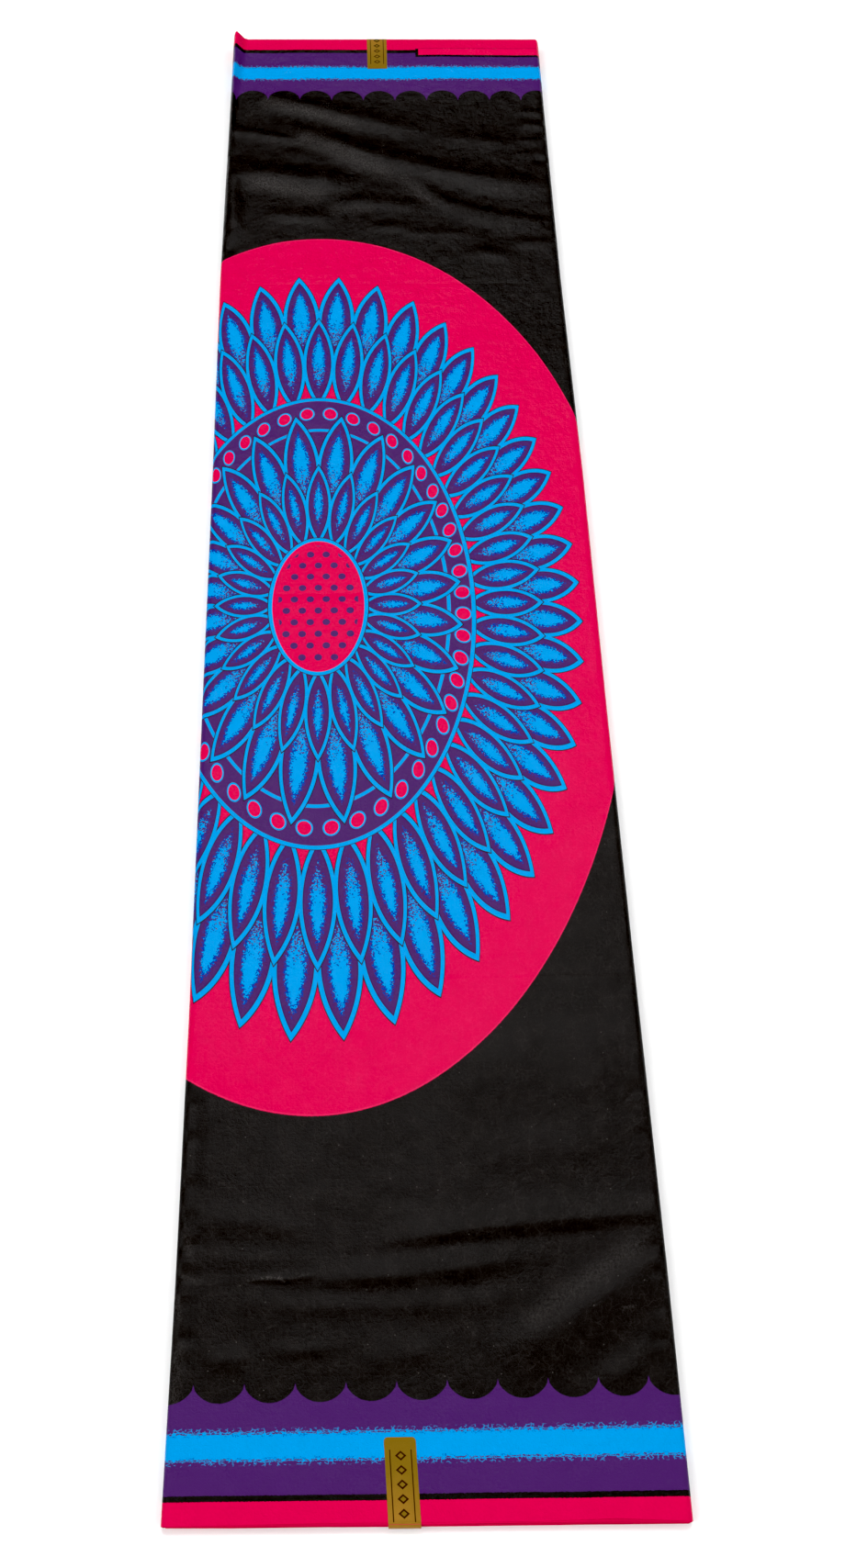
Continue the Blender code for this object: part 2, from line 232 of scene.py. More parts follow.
def slanted(x, y):
    """Shift a station along the strip by the slant of the near end."""
    share = (SLANT_FADES_AT - y) / (SLANT_FADES_AT - NEAR_END)
    return y + NEAR_SLANT * x * np.clip(share, 0.0, 1.0)


def lift(y):
    """How much higher the loose plies stand near the far end."""
    return LIFT * smooth(1.0 - (FAR_END - y) / LIFT_LENGTH)


def pinch(inset, y):
    """The height of the pinched fold, by distance in from the left fold."""
    distance = FAR_END - y
    height = column(PINCH, distance, "height")
    width = column(PINCH, distance, "width")
    slope = 1.0 - smooth((inset - PINCH_CREST) / (width - PINCH_CREST))
    return height * np.where(inset < PINCH_CREST, 1.0, slope)


def bowed_line(row):
    """Points of the parabola through a crease's three points."""
    t = np.linspace(0.0, 1.0, CREASE_STEPS + 1)[:, None]
    start, middle, end = MM * np.array((row.start, row.middle, row.end))
    return (1 - t) * (1 - 2 * t) * start + 4 * t * (1 - t) * middle + t * (2 * t - 1) * end


def crease(row, x, y):
    """The height that one crease adds at each point."""
    line = bowed_line(row)
    reach = CREASE_REACH * row.half_width * MM
    low, high = line.min(axis=0) - reach, line.max(axis=0) + reach
    near = (x > low[0]) & (x < high[0]) & (y > low[1]) & (y < high[1])
    points = np.stack((x[near], y[near]), axis=-1)[:, None, :]
    starts, spans = line[:-1], np.diff(line, axis=0)
    along = ((points - starts) * spans).sum(axis=-1) / (spans ** 2).sum(axis=-1)
    along = np.clip(along, 0.0, 1.0)
    gaps = np.linalg.norm(points - starts - along[..., None] * spans, axis=-1)
    place = gaps.argmin(axis=1)
    every = np.arange(len(place))
    share = (place + along[every, place]) / CREASE_STEPS
    fade = smooth(np.minimum(share, 1.0 - share) / CREASE_FADE + CREASE_END)
    behind = points[:, 0, 1] - (starts + along[..., None] * spans)[every, place, 1]
    width = row.half_width * MM * (1.0 + row.lean * np.sign(behind))
    height = np.zeros_like(x)
    height[near] = row.height * MM * fade * np.exp(-(gaps[every, place] / width) ** 2)
    return height


def rumple(x, y, length, seed):
    """Smooth noise between -1 and 1 with the given wavelength."""
    flat = np.array([
        noise.noise(Vector((px / length, py / length, seed)))
        for px, py in zip(np.ravel(x), np.ravel(y))
    ])
    return flat.reshape(np.shape(x))


def end_fade(y):
    """0 at the two ends of the strip and 1 away from them."""
    return smooth((y - NEAR_END) / EVEN_END) * smooth((FAR_END - y) / EVEN_END)


def top_rise(x, y):
    """How far the top ply stands above the flat stack."""
    x, y = np.broadcast_arrays(np.asarray(x, float), np.asarray(y, float))
    total = sum(crease(row, x, y) for row in CREASES)
    total = total * (1.0 + UNEVEN * rumple(x, y, UNEVEN_LENGTH, UNEVEN_SEED))
    swell = SWELL_HEIGHT * rumple(x, y, SWELL_LENGTH, SWELL_SEED)
    swell += RUMPLE_HEIGHT * rumple(x, y * RUMPLE_SQUEEZE, RUMPLE_LENGTH, RUMPLE_SEED)
    total = total + swell * end_fade(y)
    return lift(y) + np.maximum(total, DEEPEST)


def near_setback(x):
    """How far the top ply stops behind the longest ply at the near end."""
    return column(NEAR_SETBACK, x, "distance")


def row_stations():
    """Stations along the outer turn, closer where it is creased."""
    rows = set()
    for stretch in STRETCHES:
        count = round((stretch.end - stretch.start) / stretch.step)
        rows |= {round(float(y), 5) for y in np.linspace(stretch.start, stretch.end, count + 1)}
    for row in CREASES:
        if row.close:
            rows |= {round((row.middle[1] + off) * MM, 5) for off in CLOSE_ROWS}
    return np.array(sorted(rows))


def sides(y):
    """The strip's left and right sides, and the centres of the folds there."""
    left, right = column(OUTLINE, y, "left"), column(OUTLINE, y, "right")
    return left, right, left + FOLD_RADIUS, right - RIGHT_RADIUS


def columns_between(start, stop, count):
    """Columns from one line along the strip to another, without the last."""
    share = np.linspace(0.0, 1.0, count)[None, :-1]
    return start * (1 - share) + stop * share


def drawn_back(y, near, far):
    """Stations drawn back from the near end and the far end by two distances."""
    near = near * np.clip(1.0 - (y - NEAR_END) / END_SQUEEZE, 0.0, 1.0)
    far = far * np.clip(1.0 - (FAR_END - y) / END_SQUEEZE, 0.0, 1.0)
    return y + near - far


def outer_turn():
    """Points of the outer turn and their places on the flat cut."""
    y = row_stations()[:, None]
    left, right, in_left, in_right = sides(y)
    seam, middle = STACK / 2, RIGHT_MIDDLE
    quarter = np.linspace(0.0, math.pi / 2, FOLD_STEPS + 1)[None, :-1]
    falling = np.linspace(math.pi / 2, 0.0, FOLD_STEPS + 1)[None, :-1]
    parts = []

    def add(x, z, cut, rise=None):
        """Add columns at height z, or that share of the way from z to the top ply."""
        place = drawn_back(y, near_setback(x), FAR_SETBACK)
        if rise is not None:
            height = STACK + top_rise(x, place) + pinch(x - left, place + 0 * x)
            z = z + (height - z) * rise
        parts.append(np.broadcast_arrays(x, place, z, cut))

    # along the floor to the left fold, and round it
    x = columns_between(right - UNDER_EDGE, in_left, UNDER_COLUMNS)
    add(x, 0.0, 2 * in_left - math.pi * FOLD_RADIUS - x)
    x = in_left - FOLD_RADIUS * np.sin(quarter)
    add(x, seam * (1 - np.cos(quarter)), in_left - FOLD_RADIUS * (math.pi - quarter))
    x = in_left - FOLD_RADIUS * np.cos(quarter)
    add(x, seam, in_left - FOLD_RADIUS * (math.pi / 2 - quarter), rise=np.sin(quarter))
    # over the top, round the right fold and under to the loose edge
    x = columns_between(in_left, in_right, TOP_COLUMNS + 1)
    add(x, middle, x, rise=1.0)
    x = in_right + RIGHT_RADIUS * np.cos(falling)
    add(x, middle, in_right + RIGHT_RADIUS * (math.pi / 2 - falling), rise=np.sin(falling))
    x = in_right + RIGHT_RADIUS * np.cos(quarter)
    z = middle - RIGHT_RADIUS * np.sin(quarter)
    add(x, z, in_right + RIGHT_RADIUS * (math.pi / 2 + quarter))
    x = in_right - FLAP * np.linspace(0.0, 1.0, FLAP_COLUMNS)[None, :]
    add(x, PLY_PITCH, in_right + RIGHT_RADIUS * math.pi + (in_right - x))

    xs, ys, zs, cuts = (np.concatenate(part, axis=1) for part in zip(*parts))
    return np.stack((xs, slanted(xs, ys), zs), axis=-1), np.stack((cuts, ys), axis=-1)


def normals_of(points):
    """Unit normals of a grid of points."""
    along = np.gradient(points, axis=0)
    across = np.gradient(points, axis=1)
    normal = np.cross(across, along)
    return normal / np.linalg.norm(normal, axis=-1, keepdims=True)


def shell_object(name, outer, cut, thickness, material):
    """A closed thin shell: a grid of points, and the same grid one wall inside it."""
    inner = outer - normals_of(outer) * thickness
    rows, columns = outer.shape[:2]
    count = rows * columns
    index = np.arange(count).reshape(rows, columns)

    def quads(a, b, c, d):
        return np.stack((a, b, c, d), axis=-1).reshape(-1, 4)

    def rim(line):
        return quads(line[:-1], line[1:], line[1:] + count, line[:-1] + count)

    front = quads(index[:-1, :-1], index[:-1, 1:], index[1:, 1:], index[1:, :-1])
    back = front[:, ::-1] + count
    rims = [rim(index[0, ::-1]), rim(index[-1]), rim(index[:, 0]), rim(index[::-1, -1])]
    faces = np.concatenate((front, back, *rims))
    points = np.concatenate((outer.reshape(-1, 3), inner.reshape(-1, 3)))
    mesh = bpy.data.meshes.new(name)
    mesh.from_pydata(points.tolist(), [], faces.tolist())
    mesh.shade_smooth()
    mesh.set_sharp_from_angle(angle=math.radians(60))
    places = np.concatenate((cut.reshape(-1, 2), cut.reshape(-1, 2)))
    corners = np.zeros(len(mesh.loops), dtype=np.int32)
    mesh.loops.foreach_get("vertex_index", corners)
    layer = mesh.uv_layers.new(name="Cut")
    layer.uv.foreach_set("vector", places[corners].astype(np.float32).ravel())
    mesh.materials.append(material)
    piece = bpy.data.objects.new(name, mesh)
    bpy.context.scene.collection.objects.link(piece)
    return piece


class Field:
    """A number that varies over a surface, worked out by shader nodes."""

    def __init__(self, tree, socket):
        self.tree = tree
        self.socket = socket

    def combine(self, operation, *others, clamp=False):
        node = self.tree.nodes.new("ShaderNodeMath")
        node.operation = operation
        node.use_clamp = clamp
        for slot, value in zip(node.inputs, (self, *others)):
            if isinstance(value, Field):
                self.tree.links.new(value.socket, slot)
            else:
                slot.default_value = value
        return Field(self.tree, node.outputs[0])

    def __add__(self, other):
        return self.combine("ADD", other)

    __radd__ = __add__

    def __sub__(self, other):
        return self.combine("SUBTRACT", other)

    def __rsub__(self, other):
        return (self * -1.0) + other

    def __mul__(self, other):
        return self.combine("MULTIPLY", other)

    def __truediv__(self, other):
        return self.combine("DIVIDE", other)

    def __abs__(self):
        return self.combine("ABSOLUTE")

    def at_least(self, other):
        return self.combine("MAXIMUM", other)

    def at_most(self, other):
        return self.combine("MINIMUM", other)

    def root(self):
        return self.combine("SQRT")

    def sine(self):
        return self.combine("SINE")

    def fraction(self):
        return self.combine("FRACT")

    def clamped(self):
        return self.combine("ADD", 0.0, clamp=True)

    def inside(self, softness=0.00012):
        """1 where this distance is below zero, 0 above it, and a soft step between."""
        return (self * (-1.0 / softness)).combine("ADD", 0.5, clamp=True)


def length_of(a, b):
    """The length of the vector of two fields."""
    return (a * a + b * b).root()


class Paint:
    """The nodes of one material, and the shader that they feed."""

    def __init__(self, name):
        self.material = bpy.data.materials.new(name)
        self.material.use_nodes = True
        self.tree = self.material.node_tree
        self.new, self.link = self.tree.nodes.new, self.tree.links.new
        self.shader = self.tree.nodes["Principled BSDF"]
        node = self.new("ShaderNodeUVMap")
        node.uv_map = "Cut"
        self.place = node.outputs[0]
        split = self.new("ShaderNodeSeparateXYZ")
        self.link(self.place, split.inputs[0])
        self.across = Field(self.tree, split.outputs[0])
        self.along = Field(self.tree, split.outputs[1])

    def vector_node(self, operation, source, amount=(0.0, 0.0, 0.0)):
        """A node that works on a vector or a colour."""
        node = self.new("ShaderNodeVectorMath")
        node.operation = operation
        self.link(source, node.inputs[0])
        node.inputs[1].default_value = amount
        return node

    def stretched(self, across, along):
        """The place on the cut, scaled apart in its two directions."""
        return self.vector_node("MULTIPLY", self.place, (across, along, 1.0)).outputs[0]

    def noise_node(self, size, detail, source):
        """A node of smooth noise, with features of the given size."""
        node = self.new("ShaderNodeTexNoise")
        node.noise_dimensions = "2D"
        node.inputs["Scale"].default_value = 1.0 / size
        node.inputs["Detail"].default_value = detail
        self.link(source, node.inputs["Vector"])
        return node

    def noise(self, size, detail=2.0, place=None, shift=0.0):
        """Smooth noise between 0 and 1; a shift makes it differ from its like."""
        source = place or self.place
        if shift:
            source = self.vector_node("ADD", source, (shift, shift, 0.0)).outputs[0]
        return Field(self.tree, self.noise_node(size, detail, source).outputs["Fac"])

    def wander(self, size, amount, place=None):
        """Noise about zero, as large as the given amount from end to end."""
        return (self.noise(size, 1.0, place) - 0.5) * amount

    def cells(self, size, feature="F1", place=None):
        """Distance in a field of random cells, and each cell's own random number."""
        node = self.new("ShaderNodeTexVoronoi")
        node.voronoi_dimensions = "2D"
        node.feature = feature
        node.inputs["Scale"].default_value = 1.0 / size
        self.link(place or self.place, node.inputs["Vector"])
        distance = Field(self.tree, node.outputs["Distance"]) * size
        if feature != "F1":
            return distance, None
        split = self.new("ShaderNodeSeparateColor")
        self.link(node.outputs["Color"], split.inputs[0])
        return distance, Field(self.tree, split.outputs[0])

    def shaken(self, size, amount):
        """The place on the cut, moved a little by noise, so that lines wander."""
        drift = self.noise_node(size, 1.0, self.place).outputs["Color"]
        node = self.vector_node("MULTIPLY_ADD", drift, (amount, amount, 0.0))
        self.link(self.place, node.inputs[2])
        return node.outputs[0]

    def mix(self, first, second, share):
        """A colour between two colours."""
        node = self.new("ShaderNodeMix")
        node.data_type = "RGBA"
        for slot, value in ((6, first), (7, second)):
            if isinstance(value, tuple):
                node.inputs[slot].default_value = (*value, 1.0)
            else:
                self.link(value, node.inputs[slot])
        self.link(share.socket, node.inputs[0])
        return node.outputs[2]

    def shade(self, colour, factor):
        """A colour made lighter or darker by a field."""
        node = self.vector_node("SCALE", colour)
        self.link(factor.socket, node.inputs["Scale"])
        return node.outputs[0]

    def finish(self, colour, roughness, height, specular, metallic=0.0):
        """Feed the shader."""
        shader = self.shader
        self.link(colour, shader.inputs["Base Color"])
        self.link(roughness.socket, shader.inputs["Roughness"])
        shader.inputs["Specular IOR Level"].default_value = specular
        shader.inputs["Metallic"].default_value = metallic
        bump = self.new("ShaderNodeBump")
        bump.inputs["Strength"].default_value = 1.0
        bump.inputs["Distance"].default_value = 1.0
        self.link(height.socket, bump.inputs["Height"])
        self.link(bump.outputs[0], shader.inputs["Normal"])
        return self.material


# The printed borders, by distance in from the selvedge
Border = namedtuple(
    "Border", "sign edge line_out line_in stripe_out stripe_in belly cusp first pitch sway"
)
BORDERS = (
    Border(1, NEAR_END, 0.0124, 0.0153, 0.0315, 0.0456, 0.0599, 0.0680, -0.1224, 0.0270, 0.0010),
    Border(-1, FAR_END, 0.0149, 0.0192, 0.0368, 0.0522, 0.0665, 0.0767, -0.1277, 0.0271, 0.0022),
)
CUSP_TIP, CUSP_STEEP = 0.0016, 4.0

# The unevenness of the printed edges, each by its size and its amount
SWAY_SIZE = 0.0700
GRAIN_SIZE, GRAIN, SCALLOP_GRAIN = 0.0011, 0.0006, 0.6
WOBBLE_SIZE, WOBBLE = 0.0045, 0.0014
BITE_SIZE, BITE = 0.0009, 0.0018
CHANCE_SIZE, CHANCE_SOFT = 0.0026, 0.03
HAIR_SIZE, HAIR_SQUEEZE = 0.0024, 1.5

# The stripe's ragged edges: hairs outside it, and arcs and nicks inside it
HAIR_REACH, HAIR_HALF, HAIR_BELOW, HAIR_SHARE = 0.0019, 0.00020, 0.52, 0.85
HAIR_FADE = 0.0008
ARC_INSET, ARC_HALF, ARC_ABOVE, ARC_BITE = 0.0007, 0.00030, 0.57, 0.7
NICK_INSET, NICK_HALF, NICK_BELOW, NICK_BITE = 0.0016, 0.00016, 0.56, 1.3
NICK_SHARE = 0.8
FINE_EDGE = 0.0001

# The plain bar in the far selvedge
BAR_START, BAR_TOP, BAR_DEPTH = 0.0296, 0.0132, 0.0217
BAR_LINE = 0.0027
BAR_RULE, BAR_RULE_SHARE = 0.00035, 0.7
BAR_PINK = (0.740, 0.0080, 0.0850)
BAR_RED = (0.240, 0.0180, 0.0350)

# The oval field and the rosette in it
OVAL_X, OVAL_Y = -0.0570, -0.0139
OVAL_WIDE, OVAL_LONG = 0.2140, 0.3560
OVAL_SHIFT, OVAL_SHIFT_AT = 0.0116, 0.1929
ROSETTE_Y = -0.0130
ROSETTE_WIDE, ROSETTE_LONG = 0.1815, 0.3116
ROSETTE_ROUND = 1.602

Ring = namedtuple("Ring", "count turn middle half_length rim band stipple")
RINGS = (
    Ring(48, 0.0, 0.855, 0.150, 0.0030, 0.0050, 0.0034),
    Ring(48, 0.5, 0.715, 0.145, 0.0026, 0.0046, 0.0032),
    Ring(24, 0.0, 0.400, 0.150, 0.0026, 0.0050, 0.0034),
    Ring(24, 0.5, 0.280, 0.115, 0.0022, 0.0042, 0.0028),
)
PETAL_FULLNESS = 0.53
PETAL_LINE, PETAL_SOFT = 0.0007, 0.0004
EVEN_PETALS = 0.1225
STIPPLE, STIPPLE_EDGE = 0.00075, 0.02
STIPPLE_LEAST, STIPPLE_DEEP, STIPPLE_BLUE = 0.03, 0.85, 0.96
HEART_SLOPE, HEART_MIDDLE = 1.1, 0.95
BLUE_HEART = 0.4
BEAD_BAND = (0.505, 0.600)
BEAD_BAND_LINE = 0.0005
BEAD_BAND_RIMS = (0.0026, 0.0028)
BEADS, BEAD_RADIUS, BEAD_RIM = 48, 0.0048, 0.0012
HEAD, HEAD_RIM, HEAD_LINE = 0.175, 0.0028, 0.0034
SEED_PITCH, SEED_RADIUS, SEED_MARGIN = 0.0110, 0.0026, 0.0040
SEED_ROW = SEED_PITCH * 0.866


Ragged = namedtuple("Ragged", "sway grain wobble bite chance hairs")


def ragged_edges(paint):
    """The unevenness that both borders' printed edges share."""
    squeezed = paint.stretched(1.0, HAIR_SQUEEZE)
    hairs, _ = paint.cells(HAIR_SIZE, "DISTANCE_TO_EDGE", squeezed)
    return Ragged(
        sway=paint.wander(SWAY_SIZE, 1.0, paint.stretched(1.0, 0.1)),
        grain=paint.wander(GRAIN_SIZE, GRAIN),
        wobble=paint.wander(WOBBLE_SIZE, WOBBLE),
        bite=paint.wander(BITE_SIZE, BITE),
        chance=paint.noise(CHANCE_SIZE, 0.0),
        hairs=hairs,
    )


def paint_border(paint, colour, border, ragged):
    """The selvedge, line, purple band, ragged stripe and scallops of one end."""
    depth = (paint.along - border.edge) * border.sign + ragged.sway * border.sway
    half_pitch = border.pitch / 2
    drop = border.cusp - border.belly
    radius = (half_pitch ** 2 + drop ** 2) / (2 * drop)
    step = ((paint.across - border.first) / border.pitch).fraction() - 0.5
    side = step * border.pitch
    arc = (radius ** 2 - side * side).root()
    scallop = border.belly + radius - arc
    tip = border.cusp + CUSP_TIP - (half_pitch - abs(side)) * CUSP_STEEP
    edge = depth - scallop.at_least(tip) + ragged.grain * SCALLOP_GRAIN
    colour = paint.mix(colour, PURPLE, edge.inside(0.00015))

    centre = (border.stripe_in + border.stripe_out) / 2
    half = (border.stripe_in - border.stripe_out) / 2
    stripe = abs(depth - centre) - half + ragged.wobble
    colour = paint.mix(colour, BLUE, (stripe + ragged.bite).inside())
    hair = (ragged.hairs - HAIR_HALF).inside(FINE_EDGE)
    hair = hair * (HAIR_BELOW - ragged.chance).inside(CHANCE_SOFT)
    hair = (stripe - HAIR_REACH).inside(HAIR_FADE) * hair * HAIR_SHARE
    colour = paint.mix(colour, BLUE, hair)
    arcs = (abs(stripe + ARC_INSET + ragged.bite * ARC_BITE) - ARC_HALF).inside(FINE_EDGE)
    arcs = arcs * (ragged.chance - ARC_ABOVE).inside(2 * CHANCE_SOFT)
    colour = paint.mix(colour, PURPLE, arcs)
    nicks = (abs(stripe + NICK_INSET + ragged.bite * NICK_BITE) - NICK_HALF).inside(FINE_EDGE)
    nicks = nicks * (NICK_BELOW - ragged.chance).inside(CHANCE_SOFT)
    colour = paint.mix(colour, DEEP_BLUE, nicks * NICK_SHARE)

    middle = (border.line_in + border.line_out) / 2
    line = abs(depth - middle) - (border.line_in - border.line_out) / 2 + ragged.grain
    colour = paint.mix(colour, PINK, (depth - middle).inside())
    return paint.mix(colour, BLACK, line.inside()), depth


def paint_bar(paint, colour, depth, grain):
    """The plain pink bar let into the far border, with a thin black edge."""
    before = BAR_START - paint.across
    box = before.at_least(depth - BAR_DEPTH) + grain
    beyond = before.inside()
    below = (BAR_TOP - depth).inside()
    colour = paint.mix(colour, BLACK, (box - BAR_LINE).inside() * below)
    colour = paint.mix(colour, BAR_PINK, box.inside() * beyond * below)
    rule = (abs(depth - BAR_TOP + grain) - BAR_RULE).inside()
    return paint.mix(colour, BAR_RED, rule * beyond * BAR_RULE_SHARE)


def paint_petals(paint, colour, ring, radius, angle, reach, chance):
    """One ring of pointed petals with pale rims and stippled hearts."""
    share = angle * (ring.count / math.tau) + ring.turn
    side = (share.fraction() - 0.5) * radius * (ROSETTE_ROUND / ring.count)
    half_width = ring.middle * ROSETTE_ROUND / ring.count * PETAL_FULLNESS
    forth = (radius - ring.middle) * reach
    half_length = reach * ring.half_length
    big = (half_length * half_length + half_width ** 2) / (2 * half_width)
    edge = length_of(abs(side) + big - half_width, forth) - big
    colour = paint.mix(colour, KEYLINE, (edge - PETAL_LINE).inside())
    colour = paint.mix(colour, BLUE, edge.inside())
    body = edge + ring.rim
    colour = paint.mix(colour, INDIGO, body.inside())
    colour = paint.mix(colour, PURPLE, (body + PETAL_LINE).inside(PETAL_SOFT))
    heart = body + ring.band
    fade = (forth / half_length * HEART_SLOPE + HEART_MIDDLE).clamped()
    deep = chance * STIPPLE_DEEP + STIPPLE_LEAST - heart.inside(ring.stipple) * fade
    colour = paint.mix(colour, DEEP_BLUE, deep.inside(STIPPLE_EDGE))
    heart = heart + ring.stipple * BLUE_HEART
    blue = chance * STIPPLE_BLUE + STIPPLE_LEAST - heart.inside(ring.stipple) * fade
    return paint.mix(colour, BLUE, blue.inside(STIPPLE_EDGE))


def paint_rosette(paint, colour):
    """A flower of four rings of petals, a ring of beads and a dotted head."""
    across = (paint.across - OVAL_X) / ROSETTE_WIDE
    along = (paint.along - ROSETTE_Y) / ROSETTE_LONG
    radius = length_of(across, along)
    eccentric = along.combine("ARCTAN2", across)
    angle = eccentric + (eccentric * 2.0).sine() * EVEN_PETALS
    reach = length_of(across * ROSETTE_WIDE, along * ROSETTE_LONG) / radius.at_least(0.01)
    _, chance = paint.cells(STIPPLE)
    for ring in RINGS[:2]:
        colour = paint_petals(paint, colour, ring, radius, angle, reach, chance)
    inner, outer = ((radius - edge) * reach for edge in BEAD_BAND)
    inner_rim, outer_rim = BEAD_BAND_RIMS
    colour = paint.mix(colour, KEYLINE, (outer - BEAD_BAND_LINE).inside())
    colour = paint.mix(colour, BLUE, outer.inside())
    colour = paint.mix(colour, PURPLE, (outer + outer_rim).inside())
    share = (angle * (BEADS / math.tau)).fraction() - 0.5
    side = share * radius * (ROSETTE_ROUND / BEADS)
    forth = (radius - sum(BEAD_BAND) / 2) * reach
    bead = length_of(side, forth) - BEAD_RADIUS
    colour = paint.mix(colour, BLUE, (bead - BEAD_RIM).inside())
    colour = paint.mix(colour, PINK, bead.inside())
    colour = paint.mix(colour, BLUE, inner.inside())
    colour = paint.mix(colour, PURPLE, (inner + inner_rim).inside())
    for ring in RINGS[2:]:
        colour = paint_petals(paint, colour, ring, radius, angle, reach, chance)
    head = (radius - HEAD) * reach
    colour = paint.mix(colour, KEYLINE, (head - HEAD_LINE).inside())
    colour = paint.mix(colour, BLUE, (head - HEAD_RIM).inside())
    colour = paint.mix(colour, PINK, head.inside())
    row = (paint.along - ROSETTE_Y) / SEED_ROW
    odd = (row * 0.5).fraction().combine("GREATER_THAN", 0.5)
    seed = (paint.across - OVAL_X) / SEED_PITCH + odd * 0.5
    dot_x = (seed.fraction() - 0.5) * SEED_PITCH
    dot_y = (row.fraction() - 0.5) * SEED_ROW
    dot = length_of(dot_x, dot_y) - SEED_RADIUS
    return paint.mix(colour, PURPLE, dot.inside() * (head + SEED_MARGIN).inside(0.001))


# Where pale grain is painted on the waxed face as highlights along the creases, in millimetres
PaintedHighlight = namedtuple("PaintedHighlight", "start end half_width share")
PAINTED_HIGHLIGHTS = (
    PaintedHighlight((60, -484), (122, -446), 8.5, 0.42),
    PaintedHighlight((110, -480), (117, -479), 1.4, 0.5),
    PaintedHighlight((-95, -460.4), (-87, -459), 1.1, 0.7),
    PaintedHighlight((-87, -459), (-76.5, -459.3), 1.3, 1.3),
    PaintedHighlight((-76.5, -460), (-75, -461.1), 1, 0.9),
    PaintedHighlight((-72, -459.3), (-62, -457.8), 1.3, 0.55),
    PaintedHighlight((-130, -436), (-127, -446), 4, 0.4),
    PaintedHighlight((-131, -457), (-122, -460), 3.2, 0.45),
    PaintedHighlight((-133, -469), (-132, -480), 3, 0.6),
    PaintedHighlight((-132, -495), (-133, -530), 6, 0.5),
    PaintedHighlight((-100, 505), (-30, 478), 9, 0.85),
    PaintedHighlight((-68, 460), (-2, 418), 13, 0.75),
    PaintedHighlight((-107, 406), (-62, 393), 13, 0.95),
    PaintedHighlight((-45, 376), (-15, 375), 6, 0.5),
    PaintedHighlight((13, 412), (36, 383), 8.5, 0.6),
)
# the colour of the painted highlight grain
HIGHLIGHT_PALE = (0.0560, 0.0500, 0.0470)


def painted_highlight(paint):
    """How much painted highlight the wax gets, by the nearest zone's middle line."""
    total = None
    for zone in PAINTED_HIGHLIGHTS:
        run, rise = ((b - a) * MM for a, b in zip(zone.start, zone.end))
        length = math.hypot(run, rise)
        across = paint.across - zone.start[0] * MM
        along = paint.along - zone.start[1] * MM
        forth = across * (run / length) + along * (rise / length)
        side = along * (run / length) - across * (rise / length)
        past = (abs(forth - length / 2) - length / 2).at_least(0.0)
        gap = length_of(side, past)
        share = (gap * (-zone.share / (zone.half_width * MM)) + zone.share).clamped()
        total = share if total is None else total.at_least(share)
    return total


# The waxed face: its unevenness, fine veins, cracks, grainy painted highlights and specks of lint
BLACK_WORN = (0.0154, 0.0131, 0.0120)
CRACK_PALE = (0.0290, 0.0255, 0.0240)
LINT_PALE = (0.2000, 0.1850, 0.1700)
MOTTLE_SIZE, FINE_SIZE, GRIT_SIZE = 0.010, 0.0016, 0.0007
WORN_FROM, WORN_BY_MOTTLE, WORN_BY_FINE = 0.45, 1.6, 1.1
VEIN_SIZE, VEIN_HALF, VEIN_SOFT, VEIN_SHARE = 0.0030, 0.010, 0.02, 0.55
CRACK_SIZE, CRACK_HALF, CRACK_SOFT, CRACK_SHARE = 0.0062, 0.00010, 0.00030, 0.9
CRACK_DRIFT_SIZE, CRACK_DRIFT = 0.0042, 0.0050
CRACKED_FROM, CRACKED_SLOPE = 0.42, 7.0
SPECKLE_FROM, SPECKLE_SLOPE = 0.88, 2.8
LINT_PITCH, LINT_RADIUS, LINT_SOFT, LINT_ABOVE = 0.0140, 0.00024, 0.00020, 0.72
LINT_SHARE = 0.55

# The same on the pink, with the oval's pale rim and uneven edge
PINK_VEIN_HALF, PINK_VEIN_SHARE, PINK_CRACK_SHARE = 0.018, 0.16, 0.22
OVAL_RIM_INSET, OVAL_RIM_HALF, OVAL_RIM_SOFT, OVAL_RIM_SHARE = 0.0004, 0.0002, 0.0003, 0.45
OVAL_UNEVEN = 0.0004

# Tone, roughness and gloss of the printed face
TONE, TONE_BY_MOTTLE, TONE_BY_FINE = 0.93, 0.08, 0.06
SHEEN_SIZE = 0.0300
ROUGH, ROUGH_BY_SHEEN, ROUGH_BY_FINE = 0.15, 0.16, 0.06
GLOSS = 0.063

# The relief: weave, slubs, crumpling that grows towards the far end, and the
# marks of the packing folds
WARP_PITCH, WEFT_PITCH, WEAVE_HEIGHT = 0.00042, 0.00046, 0.000012
SLUB_SIZE, SLUB_STRETCH, SLUB_HEIGHT = 0.0011, 0.12, 0.00003
CRUMPLE_SIZE, CRUMPLE_HEIGHT = 0.0110, 0.00056
LEATHER_SIZE, LEATHER_HEIGHT = 0.0034, 0.00021
CRUMPLE_MIDDLE, CRUMPLE_SLOPE = 0.75, 0.65
VEIN_DEPTH, VEIN_REACH = 0.00045, 0.10
PACKING_FOLDS = (-0.2875, -0.0035, 0.2920)
FOLD_MARK_HALF, FOLD_MARK_SOFT, FOLD_MARK_DEPTH = 0.0004, 0.0008, 0.00008
FOLD_BEND_LENGTH, FOLD_BEND = 0.0500, 0.0030

Face = namedtuple("Face", "mottle fine veins cracks")


def waxed_face(paint):
    """The unevenness that the black and the pink share."""
    mottle = paint.noise(MOTTLE_SIZE, 3.0)
    drifting = paint.shaken(CRACK_DRIFT_SIZE, CRACK_DRIFT)
    cracks, _ = paint.cells(CRACK_SIZE, "DISTANCE_TO_EDGE", drifting)
    cracked = ((mottle - CRACKED_FROM) * CRACKED_SLOPE).clamped()
    return Face(
        mottle=mottle,
        fine=paint.noise(FINE_SIZE, 2.0),
        veins=abs(paint.noise(VEIN_SIZE, 3.0, shift=0.7) - 0.5),
        cracks=(cracks - CRACK_HALF).inside(CRACK_SOFT) * cracked,
    )


